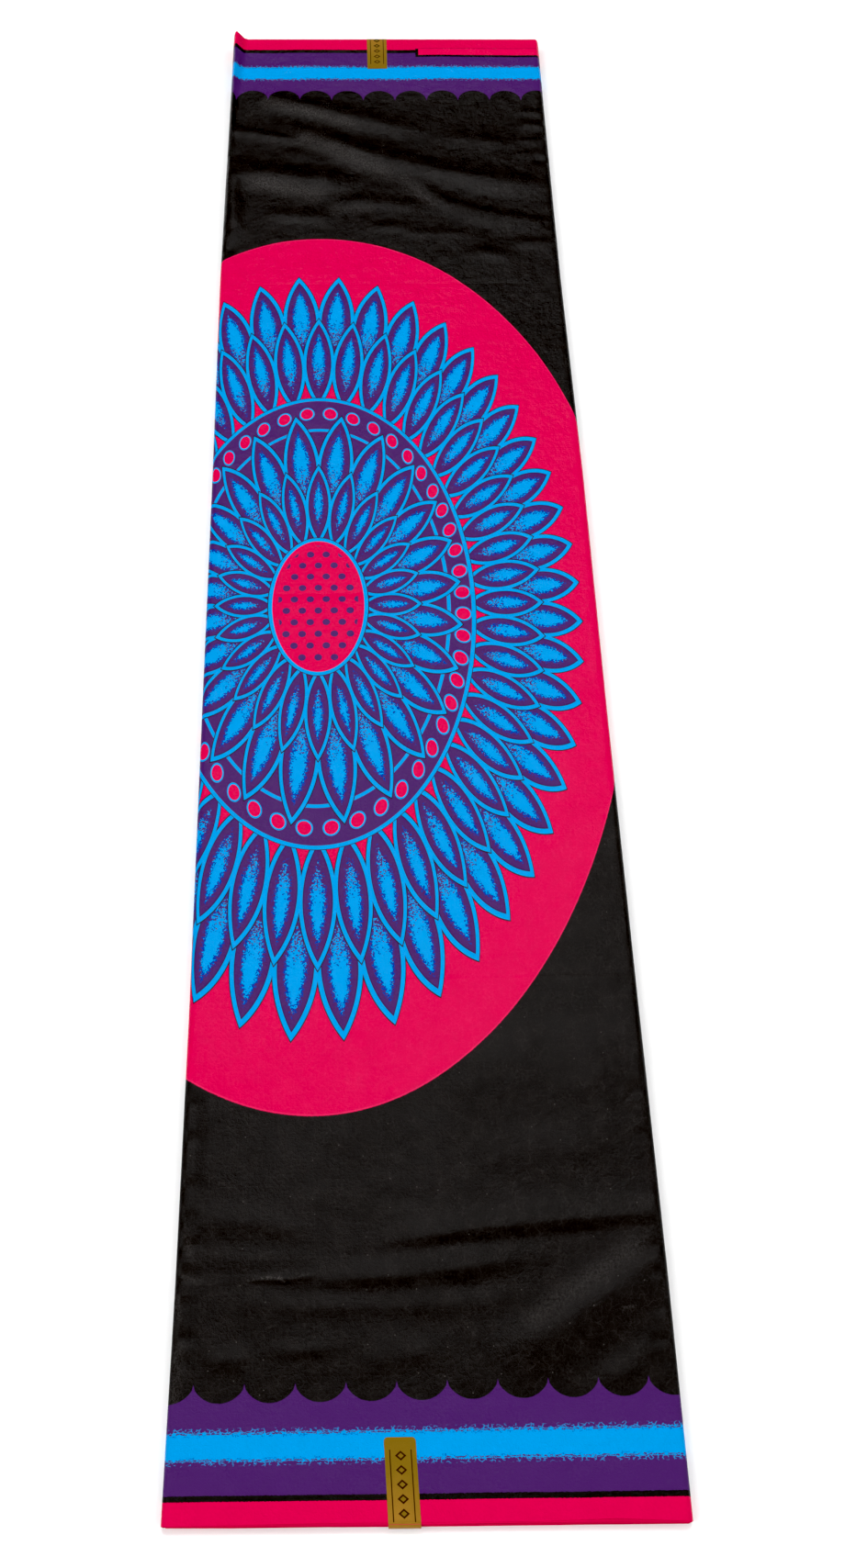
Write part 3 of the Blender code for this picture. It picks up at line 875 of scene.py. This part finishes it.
def paint_ground(paint, face):
    """The worn black of the ground, with its cracks, painted highlights and lint."""
    worn = (face.mottle - WORN_FROM) * WORN_BY_MOTTLE + (face.fine - WORN_FROM) * WORN_BY_FINE
    colour = paint.mix(BLACK, BLACK_WORN, worn)
    crackle = (face.veins - VEIN_HALF).inside(VEIN_SOFT) * VEIN_SHARE
    colour = paint.mix(colour, CRACK_PALE, crackle.at_least(face.cracks * CRACK_SHARE))
    # grit and fine noise break the painted highlights along the creases into pale grain
    grit = paint.noise(GRIT_SIZE, 1.0, shift=5.3)
    speckle = ((face.fine + grit - SPECKLE_FROM) * SPECKLE_SLOPE).clamped()
    colour = paint.mix(colour, HIGHLIGHT_PALE, painted_highlight(paint) * speckle)
    gap, chance = paint.cells(LINT_PITCH)
    lint = (gap - LINT_RADIUS).inside(LINT_SOFT) * (LINT_ABOVE - chance).inside(0.02)
    return paint.mix(colour, LINT_PALE, lint * LINT_SHARE)


def paint_oval(paint, colour, face):
    """The pink oval field, with faint veins and a pale edge."""
    off = paint.across - OVAL_X
    push = off.at_least(0.0) / OVAL_SHIFT_AT
    across = off / OVAL_WIDE
    along = (paint.along - OVAL_Y - push * push * OVAL_SHIFT) / OVAL_LONG
    oval = (length_of(across, along) - 1.0) * OVAL_WIDE
    veins = (face.veins - PINK_VEIN_HALF).inside(VEIN_SOFT) * PINK_VEIN_SHARE
    pink = paint.mix(PINK, PINK_PALE, veins.at_least(face.cracks * PINK_CRACK_SHARE))
    rim = (abs(oval + OVAL_RIM_INSET) - OVAL_RIM_HALF).inside(OVAL_RIM_SOFT)
    pink = paint.mix(pink, PINK_PALE, rim * OVAL_RIM_SHARE)
    return paint.mix(colour, pink, (oval + (face.fine - 0.5) * OVAL_UNEVEN).inside())


def wax_relief(paint, face):
    """The height of the cloth's fine relief."""
    warp = (paint.across * (math.tau / WARP_PITCH)).sine()
    weft = (paint.along * (math.tau / WEFT_PITCH)).sine()
    height = warp * weft * WEAVE_HEIGHT
    for place, shift in (((1.0, SLUB_STRETCH), 0.0), ((SLUB_STRETCH, 1.0), 0.3)):
        slub = paint.noise(SLUB_SIZE, 1.0, paint.stretched(*place), shift)
        height = height + slub * SLUB_HEIGHT
    crumple = paint.noise(CRUMPLE_SIZE, 3.0, shift=1.3) * CRUMPLE_HEIGHT
    leather = paint.noise(LEATHER_SIZE, 2.0, shift=4.1) * LEATHER_HEIGHT
    height = height + (crumple + leather) * (CRUMPLE_MIDDLE + paint.along * CRUMPLE_SLOPE)
    height = height + face.veins.at_most(VEIN_REACH) * VEIN_DEPTH
    bend = paint.noise(FOLD_BEND_LENGTH, 2.0, paint.stretched(1.0, 0.1)) - 0.5
    for mark in PACKING_FOLDS:
        gap = abs(paint.along - mark + bend * FOLD_BEND)
        height = height - (gap - FOLD_MARK_HALF).inside(FOLD_MARK_SOFT) * FOLD_MARK_DEPTH
    return height


def printed_cotton():
    """The whole print on its cotton, on the flat cut's own coordinates."""
    paint = Paint("printed_cotton")
    face = waxed_face(paint)
    colour = paint_ground(paint, face)
    colour = paint_oval(paint, colour, face)
    colour = paint_rosette(paint, colour)
    ragged = ragged_edges(paint)
    for border in BORDERS:
        colour, depth = paint_border(paint, colour, border, ragged)
    # the bar is in the last border, the far one
    colour = paint_bar(paint, colour, depth, ragged.grain)
    tone = TONE + face.mottle * TONE_BY_MOTTLE + face.fine * TONE_BY_FINE
    colour = paint.shade(colour, tone)
    sheen = paint.noise(SHEEN_SIZE, 1.0, shift=2.2)
    roughness = ROUGH + sheen * ROUGH_BY_SHEEN + face.fine * ROUGH_BY_FINE
    return paint.finish(colour, roughness, wax_relief(paint, face), specular=GLOSS)


def build_outer_turn(material):
    """The turn of cloth that shows, all round the strip."""
    points, cut = outer_turn()
    piece = shell_object("outer_turn", points, cut, CLOTH, material)
    girth = float(np.median(cut[:, -1, 0] - cut[:, 0, 0]))
    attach(piece, "root")
    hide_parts("top_panel", "bottom_panel")
    return piece, abs(girth)


# Rows of the inner turns, as distances in from each end
INNER_ROWS = (0.0, 0.0006, 0.0030, 0.0070, 0.0120, 0.0220, 0.0400, 0.0800, 0.1600)
INNER_COLUMNS = 9
INNER_FOLD_STEPS = 5
INNER_MIDDLE, INNER_MIDDLE_ROWS = 0.2600, 5
SLACK_START, SLACK_FULL = 0.0080, 0.0400
SLACK = 0.25
SLACK_NARROWING = 0.0045

# How far the hidden plies end behind the longest one
PLY_INSET, PLY_INSET_MOST = 0.00065, 0.0019
PLY_WANDER, PLY_WANDER_LENGTH = 0.00125, 0.170
PLY_FRAY, PLY_FRAY_LENGTH = 0.00022, 0.024
PLY_SEEDS = (11.3, 23.9)


def spread(z, base, rise):
    """Raise what lies above a base height with the top of the stack."""
    return np.where(z > base, base + (z - base) * (1 + rise / (STACK - base)), z)


def inner_path(in_left, in_right):
    """The inner turns across the strip, as columns of x, height and run of cloth."""
    x_parts, z_parts = [], []

    def flat(start, stop, height):
        x_parts.append(columns_between(start, stop, INNER_COLUMNS))
        z_parts.append(np.full_like(x_parts[-1], height))

    def fold(centre, radius, height, side, upwards):
        turn = np.linspace(-math.pi / 2, math.pi / 2, 2 * INNER_FOLD_STEPS + 1)[None, :-1]
        turn = turn if upwards else -turn
        x_parts.append(centre + side * radius * np.cos(turn))
        z_parts.append(height + radius * np.sin(turn) + 0 * x_parts[-1])

    start = in_right - FLAP - 2 * PLY_PITCH
    for level in range(1, PLIES // 2):
        flat(start, in_left, level * PLY_PITCH)
        fold(in_left, STACK / 2 - level * PLY_PITCH, STACK / 2, -1, True)
        flat(in_left, in_right, STACK - level * PLY_PITCH)
        if level < PLIES // 2 - 1:
            fold(in_right, RIGHT_RADIUS - level * PLY_PITCH, RIGHT_MIDDLE, 1, False)
        start = in_right
    x, z = np.concatenate(x_parts, axis=1), np.concatenate(z_parts, axis=1)
    steps = np.hypot(np.diff(x, axis=1), np.diff(z, axis=1))
    run = np.concatenate((np.zeros_like(x[:, :1]), np.cumsum(steps, axis=1)), axis=1)
    return x, z, run


def inner_turns():
    """Points of the inner turns and their places on the flat cut."""
    ends = np.array(INNER_ROWS)
    middle = np.linspace(NEAR_END + INNER_MIDDLE, FAR_END - INNER_MIDDLE, INNER_MIDDLE_ROWS)
    y = np.concatenate((NEAR_END + ends, middle, (FAR_END - ends)[::-1]))[:, None]
    x, z, run = inner_path(*sides(y)[2:])
    row_run = run.mean(axis=0, keepdims=True)

    def inset(seed):
        slow = rumple(row_run, 0 * row_run, PLY_WANDER_LENGTH, seed)
        quick = rumple(row_run, 0 * row_run, PLY_FRAY_LENGTH, seed + 5.0)
        return np.clip(PLY_INSET + PLY_WANDER * slow + PLY_FRAY * quick, 0.0, PLY_INSET_MOST)

    place = drawn_back(y, inset(PLY_SEEDS[0]), inset(PLY_SEEDS[1]))
    inside = np.minimum(y - NEAR_END, FAR_END - y)
    slack = smooth((inside - SLACK_START) / (SLACK_FULL - SLACK_START))
    z = spread(z, RIGHT_MIDDLE, lift(place) - SLACK * slack * STACK / 2)
    x = x * (1 - SLACK_NARROWING * slack)
    return np.stack((x, slanted(x, place), z), axis=-1), np.stack((row_run + 0 * x, place), axis=-1)


SELVEDGE_DARK = (0.52, 0.0008, 0.050)
SELVEDGE_DEPTH = 0.0130
PLY_TONE_SIZE, PLY_TONE_FROM, PLY_TONE_SLOPE = 0.090, 0.35, 2.2


def selvedge_cotton():
    """The pink selvedge of the hidden plies, with black cloth beyond it."""
    paint = Paint("selvedge_cotton")
    plies = paint.noise(PLY_TONE_SIZE, 1.0, paint.stretched(1.0, 0.0))
    fine = paint.noise(0.0012, 2.0)
    colour = paint.mix(PINK, SELVEDGE_DARK, (plies - PLY_TONE_FROM) * PLY_TONE_SLOPE)
    depth = (paint.along - NEAR_END).at_most(FAR_END - paint.along)
    colour = paint.mix(colour, BLACK, (SELVEDGE_DEPTH - depth).inside())
    colour = paint.shade(colour, 0.90 + fine * 0.16)
    roughness = 0.60 + fine * 0.15
    height = fine * 0.00004
    return paint.finish(colour, roughness, height, specular=0.10)


def build_inner_turns(material):
    """The other turns of the cloth, which show at the two ends."""
    points, cut = inner_turns()
    piece = shell_object("inner_turns", points, cut, CLOTH, material)
    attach(piece, "root")
    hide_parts("folded_layers")
    return piece, float(cut[0, -1, 0] - cut[0, 0, 0])


# The labels, by where each crosses its end; the lean is in degrees
Label = namedtuple("Label", "name x lean width length end corner")
LABELS = (
    Label("label_near", -0.0118, 2.4, 0.0168, 0.0420, "near", 0.0020),
    Label("label_far", -0.0066, 0.0, 0.0172, 0.0390, "far", 0.0006),
)
LABEL_THICKNESS = 0.00012
LABEL_GAP = 0.00005
LABEL_ABOVE_FLOOR = 0.0012
LABEL_BEND = (0.0005, 0.0004)
LABEL_LEDGE = 3 * PLY_PITCH
LABEL_LEDGE_FALL = 0.0012
LABEL_OFF_PLIES = (0.0006, 0.0007, 0.0008)
LABEL_COLUMNS = 8
LABEL_ROWS = 24
CORNER_ROWS = 4


def chaikin(points, rounds):
    """Cut the corners of a line of points, keeping its ends."""
    for _ in range(rounds):
        first, second = points[:-1], points[1:]
        cut = np.empty((2 * len(first), points.shape[1]))
        cut[0::2] = 0.75 * first + 0.25 * second
        cut[1::2] = 0.25 * first + 0.75 * second
        cut[0], cut[-1] = points[0], points[-1]
        points = cut
    return points


def label_drop(setback, rise):
    """The label's path over the end: distance past the longest ply, and height."""
    top = STACK + rise + LABEL_GAP
    ledge = STACK + rise - LABEL_LEDGE
    high, middle, low = LABEL_OFF_PLIES
    points = [
        (-setback, top),
        (-setback + LABEL_BEND[0], top - LABEL_BEND[1]),
        (0.0, ledge),
        (high, ledge - LABEL_LEDGE_FALL),
        (middle, STACK / 2),
        (low, LABEL_ABOVE_FLOOR),
    ]
    return chaikin(np.array(points), 2)


def label_grid(plan):
    """Points of a label and their places on its own face."""
    near = plan.end == "near"
    sign = -1 if near else 1
    setback = float(near_setback(plan.x)) if near else FAR_SETBACK
    tilt = math.tan(math.radians(plan.lean))
    across = np.linspace(-1.0, 1.0, LABEL_COLUMNS + 1)
    turn = np.linspace(0.0, math.pi / 2, CORNER_ROWS + 1)
    downs = list(plan.corner * (1 - np.cos(turn)))
    narrow = list(plan.corner * (1 - np.sin(turn)))
    flat = np.linspace(plan.corner, plan.length - setback, LABEL_ROWS + 1)[1:-1]
    downs += list(flat)
    narrow += [0.0] * len(flat)

    def end_line(x):
        return slanted(x, NEAR_END) if near else FAR_END + 0 * x

    points, places = [], []
    for down, less in zip(downs, narrow):
        before = plan.length - down
        offset = (plan.width / 2 - less) * across
        x = plan.x - tilt * before + offset
        y = end_line(x) - sign * before
        station = y - (slanted(x, y) - y) if near else y
        z = STACK + top_rise(x, station) + LABEL_GAP
        points.append(np.stack((x, y, z), axis=-1))
        places.append(np.stack((offset, 0 * x + down), axis=-1))
    run = plan.length - setback
    drop = label_drop(setback, 0.0 if near else LIFT)
    for (past, height), last in zip(drop, (drop[0], *drop)):
        run += math.hypot(past - last[0], height - last[1])
        offset = plan.width / 2 * across
        x = plan.x + tilt * past + offset
        points.append(np.stack((x, end_line(x) + sign * past, 0 * x + height), axis=-1))
        places.append(np.stack((offset, 0 * x + run), axis=-1))
    points, places = np.array(points), np.array(places)
    if near:
        points, places = points[::-1], places[::-1]
    return points, places


# The labels' pattern: a row of lozenges between two fine lines
PATTERN_START, PATTERN_END = 0.0060, 0.0400
LOZENGE_FIRST, LOZENGE_PITCH = 0.0055, 0.0068
LOZENGE_HALF, LOZENGE_SQUAT, LOZENGE_LINE = 0.0030, 1.25, 0.0014
RULE_PLACE, RULE_HALF = 0.0056, 0.00030
CLOUD_SIZE, CLOUD_SHARE = 0.014, 0.4
WARM_FROM, WARM_SLOPE = 0.022, 26.0


def gold_foil():
    """Gold foil paper with a plain pattern, warmer towards the open end."""
    paint = Paint("gold_foil")
    fine = paint.noise(0.0008, 2.0)
    cloudy = paint.noise(CLOUD_SIZE, 2.0)
    warm = cloudy * CLOUD_SHARE + (paint.along - WARM_FROM) * WARM_SLOPE
    colour = paint.mix(GOLD, GOLD_WARM, warm)
    step = ((paint.along - LOZENGE_FIRST) / LOZENGE_PITCH).fraction() - 0.5
    lozenge = abs(paint.across) + abs(step * LOZENGE_PITCH) * LOZENGE_SQUAT - LOZENGE_HALF
    keep = (PATTERN_START - paint.along).inside() * (paint.along - PATTERN_END).inside()
    colour = paint.mix(colour, BROWN, lozenge.inside() * keep)
    colour = paint.mix(colour, GOLD, (lozenge + LOZENGE_LINE).inside() * keep)
    rule = (abs(abs(paint.across) - RULE_PLACE) - RULE_HALF).inside() * keep
    colour = paint.mix(colour, BROWN, rule)
    colour = paint.shade(colour, 0.92 + fine * 0.14)
    roughness = 0.42 + cloudy * 0.10
    height = fine * 0.00003 + cloudy * 0.0004
    return paint.finish(colour, roughness, height, specular=0.08, metallic=0.20)


def build_label(plan, material):
    """A gold label stuck on the top ply and over one end."""
    points, places = label_grid(plan)
    piece = shell_object(plan.name + "_foil", points, places, -LABEL_THICKNESS, material)
    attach(piece, "root")
    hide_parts(plan.name)
    return piece


# How much veiling light the exposure takes out
VIEW_BLACK = 0.0146

# Soft distant lights: where each comes from in degrees, its strength and its spread
Light = namedtuple("Light", "name elevation azimuth energy spread")
LIGHTS = (
    Light("light_far", 64, 180, 1.30, 16),
    Light("light_above", 86, 180, 0.06, 30),
    Light("light_left", 47, -80, 1.50, 40),
    Light("light_right", 45, 80, 1.18, 60),
    Light("light_near", 25, 0, 0.50, 60),
)
WORLD_LIGHT = 0.05

# The camera's place, its turn in degrees and its lens in millimetres
CAMERA_PLACE = (-0.0220, -0.5928, 0.8463)
CAMERA_TURN = (27.65, -1.29, -1.80)
CAMERA_LENS, CAMERA_SENSOR = 33.51, 36.0


def build_light(plan):
    """A soft distant light."""
    light = bpy.data.lights.new(plan.name, "SUN")
    light.energy = plan.energy
    light.angle = math.radians(plan.spread)
    lamp = bpy.data.objects.new(plan.name, light)
    lamp.rotation_euler = (math.radians(90 - plan.elevation), 0.0, math.radians(plan.azimuth))
    bpy.context.scene.collection.objects.link(lamp)


def stage_piece(name, corners, faces, albedo, glow):
    """A matt part of the studio, which also gives off light of its own."""
    mesh = bpy.data.meshes.new(name)
    mesh.from_pydata(corners, [], faces)
    piece = bpy.data.objects.new(name, mesh)
    bpy.context.scene.collection.objects.link(piece)
    material = bpy.data.materials.new(name + "_white")
    material.use_nodes = True
    shader = material.node_tree.nodes["Principled BSDF"]
    shader.inputs["Base Color"].default_value = (albedo, albedo, albedo, 1.0)
    shader.inputs["Roughness"].default_value = 1.0
    shader.inputs["Specular IOR Level"].default_value = 0.0
    shader.inputs["Emission Color"].default_value = (1.0, 1.0, 1.0, 1.0)
    shader.inputs["Emission Strength"].default_value = glow
    mesh.materials.append(material)
    return piece


# The studio's floor, and the wall round it that low views see
FLOOR_RADIUS = 6.0
FLOOR_HEIGHT = -0.0002
FLOOR_ALBEDO, FLOOR_GLOW = 0.94, 0.10
WALL_HEIGHT = 8.0
WALL_SIDES = 48
WALL_ALBEDO, WALL_GLOW = 0.0, 1.0


def build_studio():
    """A pale floor and wall, soft light and the camera."""
    turns = [math.tau * step / WALL_SIDES for step in range(WALL_SIDES)]
    ring = [(FLOOR_RADIUS * math.cos(turn), FLOOR_RADIUS * math.sin(turn)) for turn in turns]
    low = [(x, y, FLOOR_HEIGHT) for x, y in ring]
    high = [(x, y, WALL_HEIGHT) for x, y in ring]
    stage_piece("floor", low, [tuple(range(WALL_SIDES))], FLOOR_ALBEDO, FLOOR_GLOW)
    sides = [(i, (i + 1) % WALL_SIDES) for i in range(WALL_SIDES)]
    panels = [(b, a, a + WALL_SIDES, b + WALL_SIDES) for a, b in sides]
    wall = stage_piece("wall", low + high, panels, WALL_ALBEDO, WALL_GLOW)
    # the camera alone sees the wall, so it neither shades nor lights the cloth
    wall.visible_shadow = False
    wall.visible_diffuse = False
    wall.visible_glossy = False

    world = bpy.data.worlds.new("studio")
    world.use_nodes = True
    background = world.node_tree.nodes["Background"]
    background.inputs["Color"].default_value = (1.0, 1.0, 1.0, 1.0)
    background.inputs["Strength"].default_value = WORLD_LIGHT
    bpy.context.scene.world = world
    for plan in LIGHTS:
        build_light(plan)
    view = bpy.context.scene.view_settings
    view.view_transform = "Standard"
    view.use_curve_mapping = True
    view.curve_mapping.black_level = (VIEW_BLACK, VIEW_BLACK, VIEW_BLACK)
    view.curve_mapping.update()

    lens = bpy.data.cameras.new("camera")
    lens.lens = CAMERA_LENS
    lens.sensor_width = CAMERA_SENSOR
    camera = bpy.data.objects.new("camera", lens)
    camera.location = CAMERA_PLACE
    camera.rotation_euler = tuple(math.radians(angle) for angle in CAMERA_TURN)
    bpy.context.scene.collection.objects.link(camera)
    bpy.context.scene.camera = camera


build_studio()
cotton = printed_cotton()
wrap, girth = build_outer_turn(cotton)
inner, run = build_inner_turns(selvedge_cotton())
foil = gold_foil()
labels = [build_label(plan, foil) for plan in LABELS]
